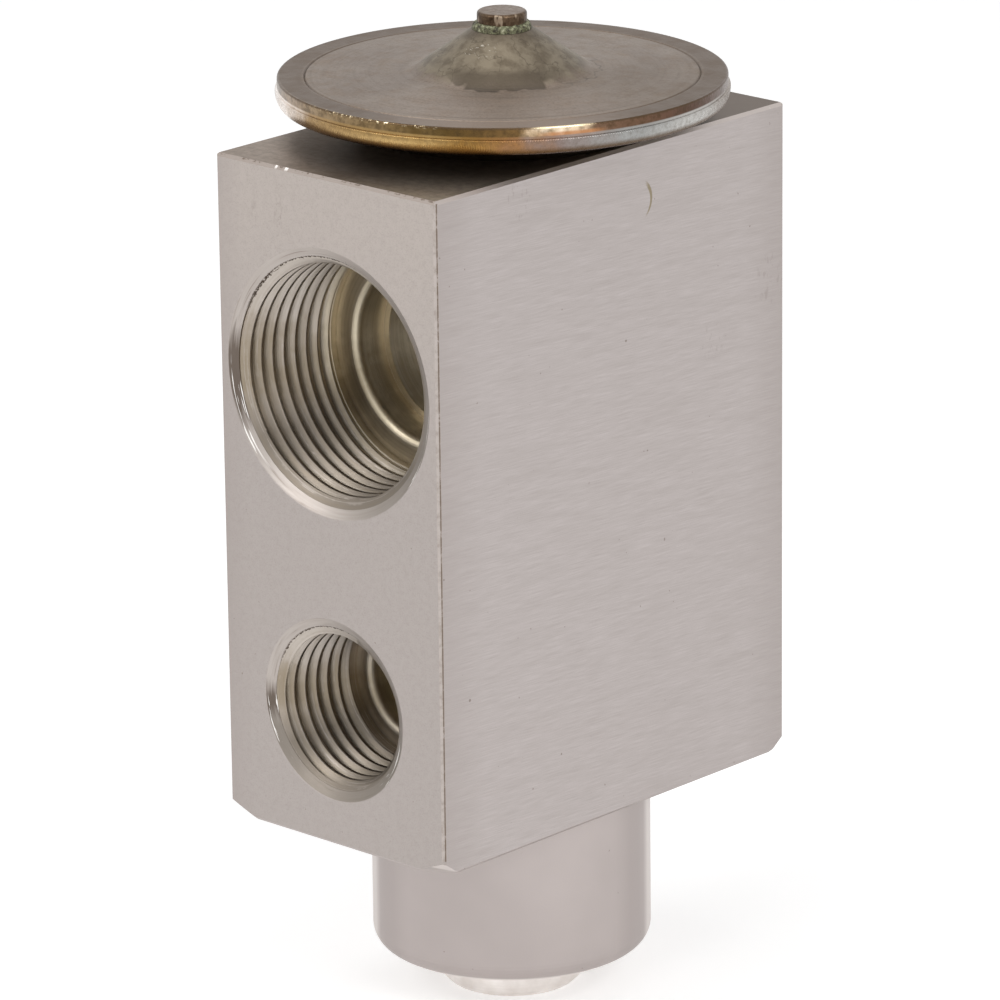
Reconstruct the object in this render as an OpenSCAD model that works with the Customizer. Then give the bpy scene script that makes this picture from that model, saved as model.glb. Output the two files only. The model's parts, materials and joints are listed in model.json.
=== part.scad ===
// Block expansion valve with a diaphragm power head on top and a superheat
// adjusting screw underneath. Lengths are in millimetres. The origin is the centre
// of the adjusting screw's lower face, on the valve's axis, and +Z points up.

/* [Block] */
// Depth of the block, along the ports
block_depth = 48.5; // [43.5:0.5:56]
// Wall beside a suction port's mouth, which sets the block's width
side_wall = 1.05; // [0.5:0.05:4]
// Chamfer that breaks the block's edges
block_edge = 0.3; // [0.1:0.1:0.6]
// How far the turned cone cuts in from each lower corner
corner_cut = 1.8; // [0.8:0.1:2.2]
// Height of that cut at the corner
corner_cut_height = 1.5; // [0.8:0.1:2.5]
// How far the turned boss lies inside the block's long sides
boss_inset = 0.5; // [0.2:0.1:2]
// Height of the boss under the block
boss_height = 16.15; // [14.5:0.05:20]
// Radius of the boss's lower edge
boss_round = 1.95; // [0.5:0.05:3]

/* [Suction line] */
// Height of the suction line's axis above the liquid outlet's axis
suction_rise = 24.2; // [22:0.1:28]
// Height of the block's top above the suction line's axis
suction_cover = 19.8; // [17.8:0.1:24]
// Thread diameter of the two suction ports
suction_thread = 24; // [21.6:0.2:28]
// Length of full thread in a suction port
suction_thread_length = 11.2; // [8:0.1:12.6]
// Plain bore between that thread and the port's floor
suction_plain = 0.74; // [0.3:0.02:1.2]
// Diameter of the recess behind the port's floor
suction_recess = 17; // [15.3:0.1:19]
// Length of that recess, from the port's floor
suction_recess_length = 3.75; // [2:0.05:5]
// Diameter of the passage that joins the two suction ports
suction_passage = 15.7; // [13:0.1:16.8]

/* [Liquid line] */
// Height of the liquid inlet's axis above the block's foot
inlet_height = 13.4; // [12:0.1:16]
// Thread diameter of the two liquid ports
liquid_thread = 16; // [14.4:0.1:18]
// Length of full thread in a liquid port
liquid_thread_length = 8.7; // [6:0.1:9.8]
// Plain bore between that thread and the port's floor
liquid_plain = 1.09; // [0.3:0.01:1.5]
// Diameter of the blind bore behind the port's floor
liquid_bore = 10.4; // [9.2:0.1:11.7]
// Length of that bore, from the port's floor
liquid_bore_length = 4.4; // [2:0.1:5]
// Diameter of the drilling from the inlet to the ball chamber
inlet_drill = 5.2; // [4:0.1:5.9]
// Diameter of the drilling from the outlet to the pin chamber
outlet_drill = 5; // [4:0.1:5.7]

/* [Ports] */
// Pitch of the port threads
port_pitch = 1.5; // [1:0.25:1.75]
// Width of the countersink at the mouth of each port
port_chamfer = 0.95; // [0.5:0.05:1.1]
// Depth of that countersink where it meets the thread's wall
port_chamfer_depth = 0.55; // [0.3:0.05:1]
// Radius of the lip where each port's floor turns into the bore behind it
port_lip = 0.85; // [0.3:0.05:1]

/* [Power head] */
// Diameter of the two pressed covers
cover_diameter = 42.3; // [38:0.1:47.4]
// Width of the covers' flanges, which clamp the diaphragm
flange_width = 4.05; // [3:0.05:5]
// Height of the rim's underside above the block's top
rim_lift = 2.62; // [2.34:0.02:3.2]
// Thickness of the lower cover's flange
lower_flange = 1.28; // [1.14:0.02:1.6]
// Thickness of the upper cover's flange
upper_flange = 1.19; // [1.05:0.01:1.6]
// Thickness of the diaphragm
diaphragm_thickness = 0.15; // [0.1:0.01:0.2]
// Height of the diaphragm's waves
diaphragm_wave = 0.25; // [0.1:0.05:0.3]
// Number of waves in the diaphragm
diaphragm_waves = 3; // [2:1:4]
// Flat band of the diaphragm on each side of its waves
wave_margin = 0.4; // [0.2:0.1:0.8]
// Height of the gas space over the diaphragm
gas_space = 0.5; // [0.3:0.05:0.7]
// Distance of the ring groove from the upper cover's edge
groove_inset = 2.6; // [1.5:0.1:3.5]
// Width of the ring groove
ring_groove_width = 0.3; // [0.1:0.05:0.5]
// Rise of the upper cover from its rim to its cone
cover_rise = 0.36; // [0.2:0.02:0.6]
// Diameter of the cone's foot
cone_foot = 17; // [14.6:0.1:19.6]
// Diameter of the cone's flat top
cone_top = 5.8; // [5.2:0.1:7]
// Height of the cone above its foot
cone_height = 3.95; // [3:0.05:5]
// Radius of the blend at the cone's foot
cone_blend = 2; // [0.5:0.1:3]
// Wall of the cone
cone_wall = 1.1; // [0.8:0.1:1.4]
// Diameter of the filling pin
pin_diameter = 4.7; // [3:0.1:5.3]
// Height of the filling pin above the cone
pin_height = 1.7; // [1.4:0.05:3]
// Depth of the filling pin below the cone's top
pin_depth = 1.5; // [1.2:0.1:2]
// Height of the solder ring at the pin's foot
solder_height = 0.8; // [0.3:0.05:1.2]

/* [Rim weld] */
// How far the weld bead stands out from the covers
weld_bulge = 0.18; // [0.06:0.02:0.5]
// How deep the weld reaches into the covers
weld_depth = 0.65; // [0.4:0.05:1.2]
// Height of the bead's widest line above the lower flange
bead_rise = 0.1; // [0:0.05:0.4]
// How far the bead climbs the upper cover's edge
bead_climb = 0.1; // [0.05:0.05:0.5]

/* [Lower cover and neck] */
// Thickness of the lower cover's floor
cover_floor = 1.1; // [0.9:0.05:1.25]
// How far the cover's flat floor reaches past the sealing recess
floor_overlap = 0.8; // [0.4:0.1:1.4]
// How far the pressed wall's outside lies from its inside, across the axis
press_offset = 0.45; // [0.2:0.05:0.8]
// Thread diameter of the neck
neck_thread = 20; // [18:0.1:22.4]
// Length of the threaded hole under the block's top
neck_hole_depth = 7.5; // [6.5:0.1:8.4]
// Gap under the neck's end
neck_end_gap = 0.4; // [0.2:0.1:1]
// Bore of the neck, and of the block under it
neck_bore = 14; // [12.6:0.1:15.7]
// Wall of the lip that holds the lower cover
neck_lip = 0.5; // [0.3:0.05:0.8]
// Depth of the neck's undercut inside the seal
neck_undercut = 0.6; // [0.3:0.05:1]
// Width of the sealing recess in the block's top
seal_recess_width = 2.6; // [2.2:0.05:3]
// Depth of that sealing recess
seal_recess_depth = 1.9; // [1.6:0.05:2.15]

/* [Lift train] */
// Travel of the ball from shut to full open
lift = 0.6; // [0.4:0.05:0.7]
// Diameter of the diaphragm plate
plate_diameter = 23.6; // [20:0.1:26.4]
// Thickness of the diaphragm plate
plate_thickness = 1.6; // [1.2:0.1:1.8]
// Diameter of the plate's hub
hub_diameter = 12; // [10:0.1:13.4]
// Length of the hub below the plate
hub_length = 3.8; // [3:0.1:5]
// Diameter of the sensing stem
stem_diameter = 7; // [6.3:0.1:7.9]
// Diameter of the stem's spigot in the hub
stem_spigot = 5; // [4:0.1:5.6]
// Length of that spigot
stem_spigot_length = 2.6; // [1.5:0.1:3]
// Length of the stem below its seal
stem_guide = 4.6; // [3:0.1:5.2]
// Diameter of the push pin
push_pin_diameter = 2; // [1.6:0.1:2.4]
// Depth of the push pin in the stem
push_pin_seat = 2.2; // [1.5:0.1:3]
// Radial clearance of the parts that slide
slide_clearance = 0.03; // [0.01:0.005:0.05]
// Gap under the stem's end at full lift
stem_end_gap = 0.3; // [0.2:0.1:0.8]

/* [Stem seal] */
// Thickness of the stem seal's ring
stem_seal = 2.1; // [1.9:0.05:2.35]
// Radial gap on each side of the seal and of its washer
seal_gap = 0.05; // [0.02:0.01:0.1]
// Thickness of the washer over the seal
washer_thickness = 0.8; // [0.5:0.1:1]
// Thickness of the retaining clip
clip_thickness = 0.5; // [0.3:0.1:0.6]
// Gap between the retaining clip and the stem
clip_gap = 0.35; // [0.2:0.05:0.6]
// How deep the clip lies under the suction passage
clip_cover = 0.3; // [0.1:0.1:1]
// Number of slots in the retaining clip
clip_slots = 6; // [4:1:8]
// Width and depth of a slot in the retaining clip
clip_slot = 1; // [0.6:0.1:1.2]

/* [Seat and ball] */
// Wall between the inlet's drilling and the seat
seat_cover = 0.2; // [0.1:0.05:0.6]
// Wall between the seat and the outlet's drilling
outlet_cover = 0.1; // [0.05:0.05:0.6]
// Wall between the outlet's drilling and the pin chamber's roof
roof_cover = 0.5; // [0.2:0.1:1]
// Thickness of the seat
seat_thickness = 2.2; // [1.6:0.1:2.5]
// Outer diameter of the seat
seat_diameter = 10; // [9:0.1:10.7]
// Diameter of the seat's orifice
orifice = 3.8; // [3.2:0.1:4.3]
// Diameter of the ball
ball_diameter = 5; // [4.5:0.1:5.6]
// Gap between the shut ball and its seat
ball_gap = 0.02; // [0.01:0.005:0.03]
// Diameter of the chamber above the seat
pin_chamber = 6.8; // [5.5:0.1:7.6]

/* [Spring chamber] */
// Diameter of the chamber that holds the ball and the spring
chamber_diameter = 12; // [10.8:0.1:13.4]
// Diameter of the carrier's head
carrier_diameter = 9.4; // [8.4:0.1:10.5]
// Thickness of the carrier's head
carrier_head = 2.5; // [2.2:0.1:2.8]
// Length of the carrier's tail
carrier_tail_length = 3; // [2:0.1:4]
// How far the carrier's cup reaches past its contact with the ball
cup_lip = 0.8; // [0.4:0.05:1]
// Flat at the bottom of the carrier's cup
cup_flat = 1.6; // [1:0.1:2.2]
// Sheet of the damping clip
damper_sheet = 0.3; // [0.2:0.05:0.4]
// Radial gap between the damping clip and the carrier's tail
damper_gap = 0.05; // [0.02:0.01:0.1]
// Number of arms of the damping clip
damper_arms = 4; // [3:1:6]
// Width of an arm
damper_arm_width = 1.8; // [1:0.1:2.4]
// Length of an arm
damper_arm_length = 3.6; // [2:0.1:5]
// Wire of the superheat spring
spring_wire = 1.2; // [0.8:0.05:1.35]
// Mean diameter of the superheat spring
spring_diameter = 7.8; // [7:0.05:8.7]
// Active turns of the superheat spring
spring_turns = 4.5; // [3:0.5:5]
// Pitch of the spring's closed end turns, in wires
spring_end_pitch = 1.05; // [1.01:0.01:1.2]
// Radial gap between the spring and what centres it
spring_gap = 0.3; // [0.1:0.05:0.5]

/* [Adjusting screw] */
// How far the screw stands out of the boss
screw_out = 3.85; // [2.5:0.05:5]
// How much smaller the screw's plain end is than its thread, in radius
screw_relief = 0.2; // [0.1:0.05:0.6]
// Chamfer at the foot of the screw
screw_chamfer = 0.5; // [0.2:0.1:1]
// Thread diameter of the screw
screw_thread = 14; // [12.6:0.1:15.6]
// Radial clearance of the screw in the boss, and of the neck in the block
thread_clearance = 0.05; // [0.02:0.01:0.1]
// Length of the screw's thread
screw_thread_length = 8.6; // [6:0.1:9.6]
// Run-out at each end of that thread
screw_runout = 0.4; // [0.2:0.1:0.8]
// Length of the threaded bore in the boss
boss_thread_length = 10.4; // [9.4:0.1:11.6]
// Length of the screw's plain head over its thread
screw_head_length = 5.7; // [5.2:0.1:6.3]
// Distance of the seal groove's middle below the head's top
screw_groove_drop = 1.8; // [1.6:0.1:2]
// Width of the seal groove
screw_groove_width = 1.8; // [1.65:0.05:2]
// Thickness of the screw's seal
screw_seal = 1.44; // [1.3:0.02:1.6]
// Clearance round the screw's seal
screw_seal_clearance = 0.03; // [0.02:0.01:0.05]
// Height of the nib that centres the spring
screw_nib_height = 2; // [1:0.1:3]
// Key size of the hexagon socket
socket_size = 6; // [4:0.5:7]
// Depth of the hexagon socket
socket_depth = 5; // [4:0.1:7]

/* [Edges and bends] */
// Radius of the crisp edges of the covers and the solder
crisp_edge = 0.15; // [0.05:0.05:0.2]
// Radius or chamfer of the broken edges of turned parts
turned_edge = 0.3; // [0.1:0.05:0.35]
// Inner radius of a bend in the covers
bend_inner = 0.5; // [0.3:0.1:0.8]
// Outer radius of a bend in the covers
bend_outer = 1.2; // [0.6:0.1:1.5]

/* [Hidden] */
$fn = 96;
// Overshoot of a cutting tool past the face that it opens
over = 1;
// Largest turn between two points of a rounded corner
arc_step = 12;
// Share of a thread's pitch between its major and its minor radius
thread_share = 0.54;
thread_depth = thread_share * port_pitch;

// Block: the suction port's mouth and its side walls make the width
block_width = suction_thread + 2 * (port_chamfer + side_wall);
boss_r = block_width / 2 - boss_inset;
corner_distance = norm([block_width, block_depth]) / 2;
cone_foot_r = corner_distance - corner_cut;

// Heights above the origin, from the boss up to the block's top
boss_z = screw_out;
foot_z = boss_z + boss_height;
inlet_z = foot_z + inlet_height;
seat_z = inlet_z + inlet_drill / 2 + seat_cover;
outlet_z = seat_z + seat_thickness + outlet_cover + outlet_drill / 2;
pin_roof_z = outlet_z + outlet_drill / 2 + roof_cover;
suction_z = outlet_z + suction_rise;
top_z = suction_z + suction_cover;
block_height = top_z - foot_z;

// Stem seal, under the suction passage
clip_z = suction_z - suction_passage / 2 - clip_cover - clip_thickness;
washer_z = clip_z - washer_thickness;
gland_z = washer_z - stem_seal;
stem_r = stem_diameter / 2;
gland_r = stem_r + stem_seal + 2 * seal_gap;
stem_low_z = gland_z - stem_guide;
guide_low_z = stem_low_z - lift - stem_end_gap;
pin_r = push_pin_diameter / 2;

// Ports
suction_floor = suction_thread_length + thread_depth + suction_plain;
suction_end = suction_floor + suction_recess_length;
liquid_floor = liquid_thread_length + thread_depth + liquid_plain;
liquid_end = liquid_floor + liquid_bore_length;

// Power head
cover_r = cover_diameter / 2;
mouth_r = cover_r - flange_width;
weld_r = cover_r - weld_depth;
rim_low_z = top_z + rim_lift;
diaphragm_z = rim_low_z + lower_flange;
upper_z = diaphragm_z + diaphragm_thickness;
rim_top_z = upper_z + upper_flange;
cone_z = rim_top_z + cover_rise;
cone_top_z = cone_z + cone_height;
cone_slope = atan(cone_height / ((cone_foot - cone_top) / 2));
bead_z = diaphragm_z + bead_rise;
bead_top_z = upper_z + bead_climb;
filling_r = pin_diameter / 2;

// Neck, its seal and the cover's floor
neck_r = neck_thread / 2 - thread_clearance;
neck_low_z = top_z - neck_hole_depth + neck_end_gap;
lip_r = neck_bore / 2 + neck_lip;
undercut_r = neck_thread / 2 - neck_undercut;
recess_r = undercut_r + seal_recess_width;
recess_z = top_z - seal_recess_depth;
floor_r = recess_r + floor_overlap;
floor_z = top_z + cover_floor;

// Lift train, shut
plate_r = plate_diameter / 2;
plate_z = diaphragm_z - plate_thickness;
hub_z = plate_z - hub_length;
spigot_r = stem_spigot / 2;
spigot_z = hub_z + stem_spigot_length;

// Seat and ball
orifice_r = orifice / 2;
ball_r = ball_diameter / 2;
ball_z = seat_z - sqrt(pow(ball_r, 2) - pow(orifice_r, 2)) - ball_gap;
chamber_r = chamber_diameter / 2;

// The cup's 45 degree cone touches the ball at this radius
cup_touch = ball_r * sin(45);
cup_touch_z = ball_z - cup_touch;
carrier_r = carrier_diameter / 2;
carrier_top_z = cup_touch_z + cup_lip;
carrier_low_z = carrier_top_z - carrier_head;

// Screw, from its foot upwards
screw_r = screw_thread / 2 - thread_clearance;
screw_end_r = screw_r - screw_relief;
screw_thread_z = screw_out + screw_thread_length;
screw_head_z = screw_thread_z + screw_head_length;
head_r = chamber_r - thread_clearance;
groove_r = chamber_r - screw_seal - 2 * screw_seal_clearance;
groove_z = screw_head_z - screw_groove_drop;
groove_low_z = groove_z - screw_groove_width / 2;
groove_high_z = groove_z + screw_groove_width / 2;

// Spring, between the screw's head and the damping clip
spring_low_z = screw_head_z;
spring_top_z = carrier_low_z - damper_sheet;
spring_length = spring_top_z - spring_low_z;
coil_r = spring_diameter / 2;
wire_r = spring_wire / 2;
centring_r = coil_r - wire_r - spring_gap;

// Unit vector from a to b
function unit(a, b) = (b - a) / norm(b - a);

// Points of the corner [x, y, radius] at b, between its neighbours a and c
function corner(a, b, c) =
    let (p = [b[0], b[1]], r = b[2])
    r == undef || r == 0 ? [p] :
    let (u = unit(p, [a[0], a[1]]), v = unit(p, [c[0], c[1]]),
         half = acos(u * v) / 2,
         centre = p + (u + v) / norm(u + v) * r / sin(half),
         start = p + u * r / tan(half) - centre,
         end = p + v * r / tan(half) - centre,
         a0 = atan2(start[1], start[0]),
         turn = atan2(start[0] * end[1] - start[1] * end[0], start * end),
         steps = max(2, ceil(abs(turn) / arc_step)))
    [for (i = [0:steps]) centre + r * [cos(a0 + turn * i / steps), sin(a0 + turn * i / steps)]];

// Outline whose corners [x, y, radius] are rounded, radius left out where sharp
function outline(points) =
    let (n = len(points))
    [for (i = [0:n - 1]) each corner(points[(i + n - 1) % n], points[i], points[(i + 1) % n])];

module turned(points) {
    rotate_extrude() polygon(outline(points));
}

module disc(r, z, h) {
    translate([0, 0, z]) cylinder(r = r, h = h);
}

module ring(outer, inner, z, h) {
    difference() {
        disc(outer, z, h);
        disc(inner, z - over, h + 2 * over);
    }
}

module o_ring(mean_r, section_r, z) {
    translate([0, 0, z]) rotate_extrude() translate([mean_r, 0]) circle(r = section_r, $fn = 32);
}

// Cutting tool of a threaded port, from its mouth at z = 0 towards +Z
module port_tool(thread, thread_length, depth, bore, bore_depth) {
    thread_r = thread / 2;
    mouth = thread_r + port_chamfer;
    tap_r = thread_r - thread_depth;
    bore_r = bore / 2;
    mouth_over = over * port_chamfer / port_chamfer_depth;
    turned([[0, -over], [mouth + mouth_over, -over], [thread_r, port_chamfer_depth],
            [thread_r, thread_length], [tap_r, thread_length + thread_depth], [tap_r, depth],
            [bore_r, depth, port_lip], [bore_r, bore_depth], [0, bore_depth]]);
}

// Places a cutting tool on the front face, or on the back face
module on_face(z, front = true) {
    translate([0, (front ? -1 : 1) * block_depth / 2, z]) rotate([front ? -90 : 90, 0, 0]) children();
}

module suction_port() {
    port_tool(suction_thread, suction_thread_length, suction_floor, suction_recess, suction_end);
}

// Liquid port with its drilling to the valve's axis
module liquid_port(drill) {
    port_tool(liquid_thread, liquid_thread_length, liquid_floor, liquid_bore, liquid_end);
    disc(drill / 2, liquid_end - over, block_depth / 2 - liquid_end + over);
}

// Rectangle with its four corners cut by the block's edge chamfer, centred on x
module chamfered(w, h) {
    e = block_edge;
    polygon([[-w / 2 + e, 0], [w / 2 - e, 0], [w / 2, e], [w / 2, h - e],
             [w / 2 - e, h], [-w / 2 + e, h], [-w / 2, h - e], [-w / 2, e]]);
}

module block_stock() {
    intersection() {
        translate([0, -block_depth / 2, foot_z]) linear_extrude(height = block_height)
            chamfered(block_width, block_depth);
        translate([0, block_depth / 2, foot_z]) rotate([90, 0, 0]) linear_extrude(height = block_depth)
            chamfered(block_width, block_height);
        translate([-block_width / 2, 0, foot_z]) rotate([90, 0, 90]) linear_extrude(height = block_width)
            chamfered(block_depth, block_height);
        translate([0, 0, foot_z])
            turned([[0, 0], [cone_foot_r, 0],
                    [cone_foot_r + 2 * corner_cut, 2 * corner_cut_height],
                    [cone_foot_r + 2 * corner_cut, block_height + over], [0, block_height + over]]);
    }
    translate([0, 0, boss_z])
        turned([[0, 0], [boss_r, 0, boss_round],
                [boss_r, boss_height + block_edge], [0, boss_height + block_edge]]);
}

module valve_block() {
    color("gainsboro") difference() {
        block_stock();
        on_face(suction_z) suction_port();
        on_face(suction_z, false) suction_port();
        on_face(suction_z) disc(suction_passage / 2, 0, block_depth);
        on_face(inlet_z) liquid_port(inlet_drill);
        on_face(outlet_z, false) liquid_port(outlet_drill);
        // Sealing recess, neck thread, and the bore down to the suction passage
        disc(recess_r, recess_z, seal_recess_depth + over);
        disc(neck_thread / 2, top_z - neck_hole_depth, neck_hole_depth + over);
        disc(neck_bore / 2, suction_z, top_z - suction_z);
        // Stem seal recess, stem guide and pin guide
        disc(gland_r, gland_z, suction_z - gland_z);
        disc(stem_r + slide_clearance, guide_low_z, gland_z - guide_low_z + over);
        disc(pin_r + slide_clearance, outlet_z, guide_low_z - outlet_z + over);
        // Pin chamber, seat bore, spring chamber and the screw's thread
        disc(pin_chamber / 2, seat_z, pin_roof_z - seat_z);
        disc(seat_diameter / 2, seat_z - over, seat_thickness + over);
        disc(chamber_r, boss_z, seat_z - boss_z);
        disc(screw_thread / 2, boss_z - over, boss_thread_length + over);
    }
}

module head_upper_cover() {
    ring_r = cover_r - groove_inset;
    half = ring_groove_width / 2;
    gas_z = upper_z + gas_space;
    // The cone's inside runs parallel to its outside, one wall away
    inner_foot_r = cone_foot / 2 - cone_wall / tan(90 - cone_slope / 2);
    inner_top_z = cone_top_z - cone_wall;
    inner_top_r = inner_foot_r - (inner_top_z - gas_z) / tan(cone_slope);
    color("rosybrown") turned([
        [weld_r, upper_z], [weld_r, bead_top_z], [cover_r, bead_top_z],
        [cover_r, rim_top_z, crisp_edge], [ring_r + half, rim_top_z],
        [ring_r, rim_top_z - half], [ring_r - half, rim_top_z], [cone_foot / 2, cone_z, cone_blend],
        [cone_top / 2, cone_top_z, crisp_edge], [filling_r, cone_top_z],
        [filling_r, cone_top_z - pin_depth], [max(inner_top_r, filling_r + crisp_edge), inner_top_z],
        [inner_foot_r, gas_z, bend_inner], [mouth_r - gas_space, gas_z], [mouth_r, upper_z]]);
}

module head_lower_cover() {
    color("dimgray") turned([
        [lip_r, top_z], [floor_r, top_z, bend_outer], [mouth_r + press_offset, rim_low_z, bend_outer],
        [weld_r, rim_low_z], [weld_r, diaphragm_z], [mouth_r, diaphragm_z, bend_inner],
        [floor_r - press_offset, floor_z, bend_inner], [lip_r, floor_z]]);
}

module head_neck() {
    color("slategray") turned([
        [neck_bore / 2, neck_low_z], [neck_r - turned_edge, neck_low_z],
        [neck_r, neck_low_z + turned_edge], [neck_r, recess_z], [undercut_r, recess_z],
        [undercut_r, top_z], [lip_r, top_z], [lip_r, floor_z], [neck_bore / 2, floor_z]]);
}

module rim_weld() {
    out = weld_depth + weld_bulge;
    // The bead closes in to a tenth of its stand-out at the bottom, and leaves the cover's edge at its top
    low_angle = 80;
    top_angle = 30;
    down = bead_z - rim_low_z;
    up = bead_top_z - bead_z;
    steps = 18;
    angles = [for (i = [0:steps]) -low_angle + (low_angle + top_angle) * i / steps];
    color("peru") rotate_extrude() polygon(concat(
        [[weld_r, rim_low_z]],
        [for (a = angles)
            [weld_r + out * cos(a),
             bead_z + (a < 0 ? down * sin(a) / sin(low_angle) : up * sin(a) / sin(top_angle))]],
        [[weld_r, bead_top_z]]));
}

// Height of the diaphragm's waves at radius r
function wave(r, from, to) =
    r <= from || r >= to ? 0 :
    diaphragm_wave * (1 - cos(360 * diaphragm_waves * (r - from) / (to - from))) / 2;

module diaphragm() {
    from = plate_r + wave_margin;
    to = mouth_r - gas_space - wave_margin;
    steps = 12 * diaphragm_waves;
    radii = concat([0], [for (i = [0:steps]) from + (to - from) * i / steps], [weld_r]);
    low = [for (r = radii) [r, diaphragm_z + wave(r, from, to)]];
    high = [for (i = [len(radii) - 1:-1:0]) low[i] + [0, diaphragm_thickness]];
    color("lightsteelblue") rotate_extrude() polygon(concat(low, high));
}

module charge_pin() {
    foot = cone_top_z - pin_depth;
    top = cone_top_z + pin_height;
    color("saddlebrown") turned([[0, foot], [filling_r, foot], [filling_r, top, turned_edge], [0, top]]);
}

module pin_solder() {
    width = cone_top / 2 - filling_r;
    color("darkseagreen") turned([
        [filling_r, cone_top_z], [filling_r + width * 0.9, cone_top_z],
        [filling_r + width * 0.7, cone_top_z + solder_height * 0.6, crisp_edge],
        [filling_r + width * 0.3, cone_top_z + solder_height], [filling_r, cone_top_z + solder_height]]);
}

module head_o_ring() {
    section_r = seal_recess_depth / 2;
    color("black") o_ring((recess_r + undercut_r) / 2, section_r, top_z - section_r);
}

module diaphragm_plate() {
    color("silver") turned([
        [spigot_r, hub_z], [hub_diameter / 2, hub_z, turned_edge], [hub_diameter / 2, plate_z],
        [plate_r, plate_z, turned_edge], [plate_r, diaphragm_z, turned_edge], [0, diaphragm_z],
        [0, spigot_z], [spigot_r, spigot_z]]);
}

module sensing_stem() {
    color("lightgray") turned([
        [pin_r, stem_low_z], [stem_r, stem_low_z, turned_edge], [stem_r, hub_z, turned_edge],
        [spigot_r, hub_z], [spigot_r, spigot_z, turned_edge], [0, spigot_z],
        [0, stem_low_z + push_pin_seat], [pin_r, stem_low_z + push_pin_seat]]);
}

module push_pin() {
    foot = ball_z + ball_r;
    color("silver") turned([
        [0, foot], [pin_r, foot, turned_edge], [pin_r, stem_low_z + push_pin_seat],
        [0, stem_low_z + push_pin_seat]]);
}

module stem_o_ring() {
    section_r = stem_seal / 2;
    color("black") o_ring(stem_r + seal_gap + section_r, section_r, gland_z + section_r);
}

module seal_washer() {
    color("goldenrod") ring(gland_r - seal_gap, stem_r + 2 * seal_gap, washer_z, washer_thickness);
}

module retaining_clip() {
    color("steelblue") difference() {
        ring(gland_r, stem_r + clip_gap, clip_z, clip_thickness);
        for (i = [0:clip_slots - 1]) rotate([0, 0, 360 * i / clip_slots])
            translate([gland_r - clip_slot, -clip_slot / 2, clip_z - over])
                cube([clip_slot + over, clip_slot, clip_thickness + 2 * over]);
    }
}

module seat_insert() {
    top = seat_z + seat_thickness;
    color("khaki") turned([
        [orifice_r, seat_z], [seat_diameter / 2, seat_z], [seat_diameter / 2, top],
        [orifice_r + turned_edge, top], [orifice_r, top - turned_edge]]);
}

module valve_ball() {
    color("whitesmoke") translate([0, 0, ball_z]) sphere(r = ball_r);
}

module ball_carrier() {
    tail_z = carrier_low_z - carrier_tail_length;
    cup_z = cup_touch_z - cup_touch + cup_flat / 2;
    color("tan") turned([
        [0, tail_z], [centring_r, tail_z, turned_edge], [centring_r, carrier_low_z],
        [carrier_r, carrier_low_z, turned_edge], [carrier_r, carrier_top_z, turned_edge],
        [cup_touch + cup_lip, carrier_top_z], [cup_flat / 2, cup_z], [0, cup_z]]);
}

module damping_clip() {
    outer = chamber_r - slide_clearance;
    color("cadetblue") {
        ring(carrier_r, centring_r + damper_gap, spring_top_z, damper_sheet);
        intersection() {
            union() {
                ring(outer, carrier_r - damper_sheet, spring_top_z, damper_sheet);
                ring(outer, outer - damper_sheet, spring_top_z - damper_arm_length,
                     damper_arm_length + damper_sheet);
            }
            for (i = [0:damper_arms - 1]) rotate([0, 0, 360 * i / damper_arms])
                translate([0, -damper_arm_width / 2, spring_top_z - damper_arm_length - over])
                    cube([chamber_r, damper_arm_width, damper_arm_length + 3 * over]);
        }
    }
}

// Height of the spring's centre line above its first turn, after t turns
function coil_z(t, turns, end_pitch, pitch) =
    t < 1 ? t * end_pitch :
    t < 1 + turns ? end_pitch + (t - 1) * pitch :
    end_pitch + turns * pitch + (t - 1 - turns) * end_pitch;

module superheat_spring() {
    end_pitch = spring_wire * spring_end_pitch;
    pitch = (spring_length - spring_wire - 2 * end_pitch) / spring_turns;
    sides = 8;
    per_turn = 20;
    total = spring_turns + 2;
    rings = ceil(total * per_turn);
    points = [for (k = [0:rings], s = [0:sides - 1])
        let (t = total * k / rings, a = 360 * t, b = 360 * s / sides, r = coil_r + wire_r * cos(b))
        [r * cos(a), r * sin(a),
         spring_low_z + wire_r + wire_r * sin(b) + coil_z(t, spring_turns, end_pitch, pitch)]];
    sleeve = [for (k = [0:rings - 1], s = [0:sides - 1])
        let (n = (s + 1) % sides)
        [k * sides + s, (k + 1) * sides + s, (k + 1) * sides + n, k * sides + n]];
    start = [[for (s = [0:sides - 1]) s]];
    end = [[for (s = [sides - 1:-1:0]) rings * sides + s]];
    color("slateblue") polyhedron(points = points, faces = concat(start, sleeve, end), convexity = 10);
}

module adjusting_screw() {
    nib_z = screw_head_z + screw_nib_height;
    shoulder_z = screw_out + screw_runout;
    color("lightgray") difference() {
        turned([
            [0, 0], [screw_end_r - screw_chamfer, 0], [screw_end_r, screw_chamfer],
            [screw_end_r, shoulder_z], [screw_r, shoulder_z + screw_relief],
            [screw_r, screw_thread_z - screw_runout], [head_r, screw_thread_z],
            [head_r, groove_low_z], [groove_r, groove_low_z], [groove_r, groove_high_z],
            [head_r, groove_high_z], [head_r, screw_head_z, turned_edge], [centring_r, screw_head_z],
            [centring_r, nib_z, turned_edge], [0, nib_z]]);
        translate([0, 0, -over])
            cylinder(r = socket_size / 2 / cos(30), h = socket_depth + over, $fn = 6);
    }
}

module screw_o_ring() {
    color("black") o_ring((groove_r + chamber_r) / 2, screw_seal / 2, groove_z);
}

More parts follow.
